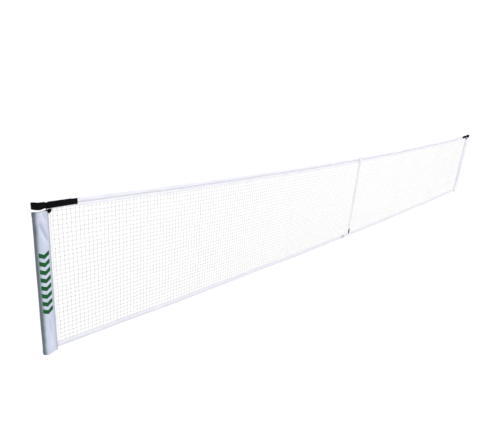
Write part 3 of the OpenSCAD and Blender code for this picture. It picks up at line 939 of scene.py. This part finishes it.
def build_strap(side, body, place):
    """The corner strap: a loop round the post, a length sewn to the net and a tail folded back over it.
    The loop stands OUTER_LIFT above its level on the post's outer side, hangs INNER_DROP below it on the
    inner side and tips forward by LOOP_TILT."""
    loop_end = LOOP_HIGH[0]
    y_strap = (STRAP_LOW[1] + STRAP_HIGH[1]) / 2
    line = pouch_line(POST_R + STRAP_T / 2, loop_end, y_strap, y_strap + STRAP_T, 90)[0]
    droop = np.interp(line[:, 0], [-POST_R, POST_R, loop_end], [OUTER_LIFT, -INNER_DROP, 0])
    z = LOOP_HIGH[2] + droop - LOOP_TILT * line[:, 1] / POST_R
    piece = webbing(f"post_loop_webbing_{side}", line[:, 0], line[:, 1], z, STRAP_W, place)
    settle(piece, body, [f"post_loop_{side}"])

    xs = np.linspace(STRAP_LOW[0] - 1 * MM, STRAP_HIGH[0], 40)
    y = y_strap + 0.15 * MM * np.sin(xs * 60)
    z = strap_top(xs) + 0.4 * MM * np.sin(xs * 45)
    piece = webbing(f"corner_webbing_{side}", xs, y, z, STRAP_W, place)
    settle(piece, body, [f"corner_strap_{side}"])

    tail_body = f"{side}_tail"
    xs = np.linspace(TAIL_LOW[0], TAIL_HIGH[0], 40)
    y = (TAIL_LOW[1] + TAIL_HIGH[1]) / 2 + 0.1 * MM * np.sin(xs * 80)
    piece = webbing(f"tail_webbing_{side}", xs, y, strap_top(xs) + TAIL_LIFT, STRAP_W, place)
    settle(piece, tail_body, [f"strap_tail_{side}"])

    for node, low, high, on in (("strap_loop_pad", PAD_LOW, PAD_HIGH, body),
                                ("tail_hook_pad", HOOK_LOW, HOOK_HIGH, tail_body)):
        xs = np.linspace(low[0], high[0], 24)
        piece = webbing(f"{node}_pile_{side}", xs, (low[1] + high[1]) / 2, strap_top(xs) - PILE_INSET,
                        STRAP_W - 2 * PILE_INSET, place, PILE_T, PILE)
        settle(piece, on, [f"{node}_{side}"])

    build_tab(side, body, place)
    build_strap_stitches(side, body, tail_body, place)


# The tab's corners, left and right, at its top, across its middle and at its point
TAB_CORNERS = MM * np.array([
    [[37, -14.5, 812], [80, -6.8, 810.5]],
    [[52, -11.5, 804], [78, -6.8, 799]],
    [[62, -8.2, 790], [69, -7.2, 789.5]],
])
TAB_BULGE = 0.8 * MM
LINK_X = (51 * MM, 55 * MM)
LINK_Y = -6.8 * MM
LINK_Z = (806 * MM, LOOP_LOW[2] + 3 * MM)


def build_tab(side, body, place):
    """A scrap of webbing folded to a point, held to the strap by a narrow link."""
    v = np.linspace(0, 2, 13)
    left, right = (points_at(v, [0, 1, 2], TAB_CORNERS[:, k]) for k in range(2))
    u = np.linspace(0, 1, 15)[None, :, None]
    grid = left[:, None] * (1 - u) + right[:, None] * u
    grid[..., 1] -= TAB_BULGE * np.sin(math.pi * u[..., 0])
    piece = cloth(f"corner_tab_webbing_{side}", place(grid), STRAP_T, BLACK_WEBBING)
    settle(piece, body, [f"corner_tab_{side}"])
    xs = np.linspace(*LINK_X, 7)
    foot, top = LINK_Z
    link = webbing(f"corner_tab_link_{side}", xs, LINK_Y, top, top - foot, place, rows=14)
    settle(link, body)


SEWN_X = (STRAP_HIGH[0] - 24 * MM, STRAP_HIGH[0] - 4 * MM)
STRAP_HEM = 3 * MM
STRAP_ROW = 4 * MM
TAIL_ROW = 5 * MM


def build_strap_stitches(side, body, tail_body, place):
    """A sewn rectangle where the strap meets the tape, and a row across each end of the tail."""
    y = STRAP_LOW[1] - SKIN
    rows = []
    for x in SEWN_X[::-1]:
        z = np.linspace(strap_top(x) - STRAP_HEM, strap_top(x) - STRAP_W + STRAP_HEM, 12)
        rows.append(stitch_row(place(spread(x, y, z)), -1))
    x = np.linspace(*SEWN_X, 8)
    for drop in (STRAP_ROW, STRAP_W - STRAP_ROW):
        rows.append(stitch_row(place(spread(x, y, strap_top(x) - drop)), -1))
    sew(f"strap_stitches_{side}", rows, BLACK_THREAD, body)
    rows = []
    for x in (TAIL_LOW[0] + TAIL_ROW, TAIL_HIGH[0] - TAIL_ROW):
        top = strap_top(x) + TAIL_LIFT
        z = np.linspace(top - STRAP_HEM, top - STRAP_W + STRAP_ROW, 12)
        rows.append(stitch_row(place(spread(x, TAIL_LOW[1] - SKIN, z)), -1))
    sew(f"tail_stitches_{side}", rows, BLACK_THREAD, tail_body)


build_end("left", "left_half", lambda points: np.asarray(points, float), LEFT_SLEEVE)
build_end("right", "right_half", mirrored, RIGHT_SLEEVE)


# ---------------------------------------------------------------- printed column of chevrons
PRINT_TOP = 257 * MM
PRINT_H = 355 * MM
PRINT_COUNT = 8
PRINT_HALF = 32 * MM
STROKE = 24 * MM
RISE = 16 * MM
PRINT_S = 45 * MM
INK_LIFT = 0.15 * MM


def build_print():
    """Plain chevrons in screen-printed ink, lying on the front of the left sleeve."""
    parts = []
    first = top_at(NET_X0) + 3 * MM - PRINT_TOP
    pitch = (PRINT_H - STROKE - RISE) / (PRINT_COUNT - 1)
    u = np.linspace(-1, 1, 31)
    v = np.linspace(0, 1, 9)[:, None]
    for k in range(PRINT_COUNT):
        z = first - k * pitch - RISE * (1 - np.abs(u)) - STROKE * v
        grid = on_sleeve(PRINT_S - PRINT_HALF * u, z, SLEEVE_T / 2 + INK_LIFT)
        parts.append((grid, sheet_quads(*z.shape)))
    piece = quad_object("sleeve_print", *join(parts), INK)
    settle(piece, "left_half")


build_print()


# ---------------------------------------------------------------- centre pocket and rod
ROD_LOW, ROD_HIGH = box("centre_rod")
TIP_LOW, TIP_HIGH = box("rod_tip")
BACK_LOW, BACK_HIGH = box("pocket_back")
POCKET_T = 1.0 * MM
HUMP_FLAT = 3 * MM
HUMP_SLOPE = 4.2 * MM
POCKET_ROW = 2.5 * MM
POCKET_HEM = 3 * MM
FOLD_OVER = 50 * MM
FOLD_ROW = 44 * MM


def build_pocket():
    """Webbing down the middle of the net: a front layer sewn along both edges and lifted by the rod,
    HUMP_FLAT each side of it and falling away over HUMP_SLOPE, and a flat back layer that folds over the
    top edge and down FOLD_OVER behind it."""
    half = (POCKET_HIGH[0] - POCKET_LOW[0]) / 2
    middle = (POCKET_HIGH[0] + POCKET_LOW[0]) / 2
    u = np.linspace(-half, half, 29)
    depth = POCKET_HIGH[1] - POCKET_LOW[1] - POCKET_T
    hump = depth * np.exp(-(np.maximum(np.abs(u) - HUMP_FLAT, 0) / HUMP_SLOPE) ** 2)
    zs = np.linspace(POCKET_LOW[2], POCKET_HIGH[2], 80)
    squeeze = 1 - 0.12 * np.sin(zs * 17) ** 2
    closing = np.clip((POCKET_HIGH[2] - zs) / (10 * MM), 0, 1)
    x = middle + u[:, None] + 0.4 * MM * np.sin(zs * 23)
    y = POCKET_HIGH[1] - POCKET_T / 2 - hump[:, None] * (squeeze * (0.25 + 0.75 * closing))
    piece = cloth("pocket_front_webbing", spread(x, y, zs), POCKET_T, POCKET_WEBBING)
    settle(piece, "left_half", ["pocket_front"])

    y_front = BACK_LOW[1] + POCKET_T / 2
    y_back = BACK_HIGH[1] - POCKET_T / 2
    over = BACK_HIGH[2] - POCKET_T / 2
    r = (y_back - y_front) / 2
    turn = np.radians(np.linspace(180, 0, 13))
    arc = np.stack([r * np.cos(turn), over - r * 0.35 + r * 0.35 * np.sin(turn)], -1)
    front = np.stack([np.full(40, y_front), np.linspace(BACK_LOW[2], over - r * 0.4, 40)], -1)
    back = np.stack([np.full(10, y_back), np.linspace(over - r * 0.4, over - FOLD_OVER, 10)], -1)
    line = np.concatenate([front, arc, back])
    grid = spread(middle + np.linspace(-half, half, 9)[:, None], line[:, 0], line[:, 1])
    piece = cloth("pocket_back_webbing", grid, POCKET_T, POCKET_WEBBING)
    settle(piece, "left_half", ["pocket_back"])

    rows = []
    y = POCKET_HIGH[1] - POCKET_T - SKIN
    up = np.linspace(zs[0] + POCKET_HEM, zs[-1] - POCKET_HEM, 60)
    for x in (middle - half + POCKET_ROW, middle + half - POCKET_ROW):
        rows.append(stitch_row(spread(x, y, up), -1))
    x = np.linspace(middle - half + POCKET_HEM, middle + half - POCKET_HEM, 12)
    rows.append(stitch_row(spread(x, y_back + POCKET_T / 2 + SKIN, zs[-1] - FOLD_ROW), 1))
    sew("pocket_stitches", rows, THREAD, "left_half")


def turned(name, profile, centre, material, sides=32):
    """A solid of revolution about a vertical line: profile is (radius, height) from bottom to top."""
    r, z = np.transpose(profile)
    turn = (2 * np.pi * np.arange(sides) / sides)[:, None]
    grid = spread(centre[0] + r * np.cos(turn), centre[1] + r * np.sin(turn), z)
    return quad_object(name, grid, sheet_quads(sides, len(profile), closed=True), material)


TIP_SHARE = 0.92
TIP_ROUND = 2 * MM


def build_tip():
    """Rubber tip: a hollow sleeve, TIP_SHARE as wide as its three grip rings, with a rounded end."""
    centre = (TIP_LOW + TIP_HIGH) / 2
    widest = (TIP_HIGH[0] - TIP_LOW[0]) / 2
    wall = widest * TIP_SHARE
    z0, z1 = TIP_LOW[2], TIP_HIGH[2]
    inner = (ROD_HIGH[0] - ROD_LOW[0]) / 2 + 0.05 * MM
    foot = [[0.01 * MM, z0]]
    for a in np.radians(np.linspace(0, 90, 7)):
        foot.append([wall - TIP_ROUND * (1 - math.sin(a)), z0 + TIP_ROUND * (1 - math.cos(a))])
    rings = []
    for z in (z0 + 12 * MM, z0 + 18 * MM, z1 - 6 * MM):
        rings += [[wall, z - 2 * MM], [widest, z - 1 * MM], [widest, z + 1 * MM], [wall, z + 2 * MM]]
    mouth = [[widest * 0.9, z1 - 0.8 * MM], [widest * 0.82, z1], [inner + 0.2 * MM, z1],
             [inner, z1 - 0.5 * MM], [inner, z0 + 6 * MM], [0.01 * MM, z0 + 6 * MM]]
    piece = turned("rod_tip_rubber", foot + rings + mouth, centre, TIP_RUBBER)
    settle(piece, "rod", ["rod_tip"])


build_pocket()
build_tip()
for node, material in (("centre_rod", GLASS_ROD), ("rod_cap", CAP_PLASTIC)):
    NODES[node].data.materials.clear()
    NODES[node].data.materials.append(material)


# ---------------------------------------------------------------- grey patch on the bottom tape
PATCH_T = 1.2 * MM
PATCH_WANDER = 0.3 * MM
PATCH_ROW = 3 * MM


def build_patch():
    """Webbing folded under the bottom tape and sewn down at both ends."""
    low, high = box("foot_patch")
    y = high[1] - PATCH_T / 2
    bottom = low[2] + PATCH_T / 2
    turn = np.radians(np.linspace(180, 360, 13))
    arc = np.stack([y * np.cos(turn), bottom + y * 0.6 + y * 0.6 * np.sin(turn)], -1)
    legs = np.linspace(high[2], bottom + y * 0.7, 12)
    line = np.concatenate([np.stack([np.full(12, -y), legs], -1), arc,
                           np.stack([np.full(12, y), legs[::-1]], -1)])
    xs = np.linspace(low[0], high[0], 16)
    x = xs + PATCH_WANDER * np.sin(line[:, 1:] * 300)
    grid = spread(x, line[:, :1] + billow(xs), line[:, 1:])
    piece = cloth("foot_patch_webbing", grid, PATCH_T, GREY_WEBBING)
    settle(piece, "left_half", ["foot_patch"])
    rows = []
    z = np.linspace(bottom + 4 * MM, high[2] - PATCH_ROW, 8)
    for face in (-1, 1):
        for x in (low[0] + PATCH_ROW, high[0] - PATCH_ROW):
            rows.append(stitch_row(spread(x, face * (y + PATCH_T / 2), z), face))
    sew("foot_patch_stitches", rows, BLACK_THREAD, "left_half")


build_patch()


# ---------------------------------------------------------------- floor, light and camera
CLEARANCE = 0.8
FLOOR_Z = POCKET_LOW[2] - CLEARANCE  # the net hangs clear, with room to draw the rod right out
FLOOR_REACH = 150.0  # far enough that the floor's edge is a level horizon


def build_stage():
    """A floor of painted board, rolled matt white: its 300 mm roller marks barely show."""
    corners = FLOOR_REACH * np.array([[-1, -1], [1, -1], [1, 1], [-1, 1]])
    points = np.column_stack([corners, np.full(4, FLOOR_Z)])
    material, tree, shader, place = start_material("rolled_matt_paint", Roughness=0.9, Specular_IOR_Level=0.1)
    marks = add_node(tree, "ShaderNodeTexNoise", {"Vector": place, "Scale": blotches(300 * MM)})["Fac"]
    add_node(tree, "ShaderNodeValToRGB", {"Fac": marks}, to=shader["Base Color"],
             stops=[(0.2, "#F2F2F2"), (0.8, "#F3F3F3")])
    floor = quad_object("studio_floor", points, [[0, 1, 2, 3]], material)


def build_light():
    """A white studio: bright walls behind the net, dimmer ones in front of it and one wide soft key."""
    world = bpy.data.worlds.new("studio_world")
    bpy.context.scene.world = world
    world.use_nodes = True
    tree = world.node_tree
    background = tree.nodes["Background"].inputs
    background["Color"].default_value = (1, 1, 1, 1)
    toward = add_node(tree, "ShaderNodeTexCoord")["Generated"]
    back = add_node(tree, "ShaderNodeSeparateXYZ", {"Vector": toward})["Y"]
    add_node(tree, "ShaderNodeMapRange", to=background["Strength"], inputs={
        "Value": back, "From Min": -0.8, "From Max": 0.15, "To Min": 0.86, "To Max": 1.02})
    light = bpy.data.lights.new("key", "SUN")
    light.energy = 1.0
    light.angle = math.radians(55)
    lamp = bpy.data.objects.new("key", light)
    lamp.rotation_euler = [math.radians(a) for a in (50, 0, -22)]
    bpy.context.scene.collection.objects.link(lamp)


def build_camera():
    """Stands in front of the left end, above the net, and looks along it to the right."""
    camera = bpy.data.cameras.new("camera")
    camera.sensor_width = 36.0
    camera.lens = 34.65
    camera.shift_x = 0.0313
    camera.shift_y = 0.0801
    camera.clip_end = 200.0
    seat = bpy.data.objects.new("camera", camera)
    seat.location = (-1.0571, -2.1701, 1.5250)
    pan, tilt, roll = 49.639, -21.075, 4.341
    aim = Euler((math.radians(90 + tilt), 0, math.radians(-pan))).to_matrix()
    seat.rotation_euler = (aim @ Matrix.Rotation(math.radians(roll), 3, "Z")).to_euler()
    bpy.context.scene.collection.objects.link(seat)
    bpy.context.scene.camera = seat


build_stage()
build_light()
build_camera()
bpy.context.scene.view_settings.view_transform = "Standard"
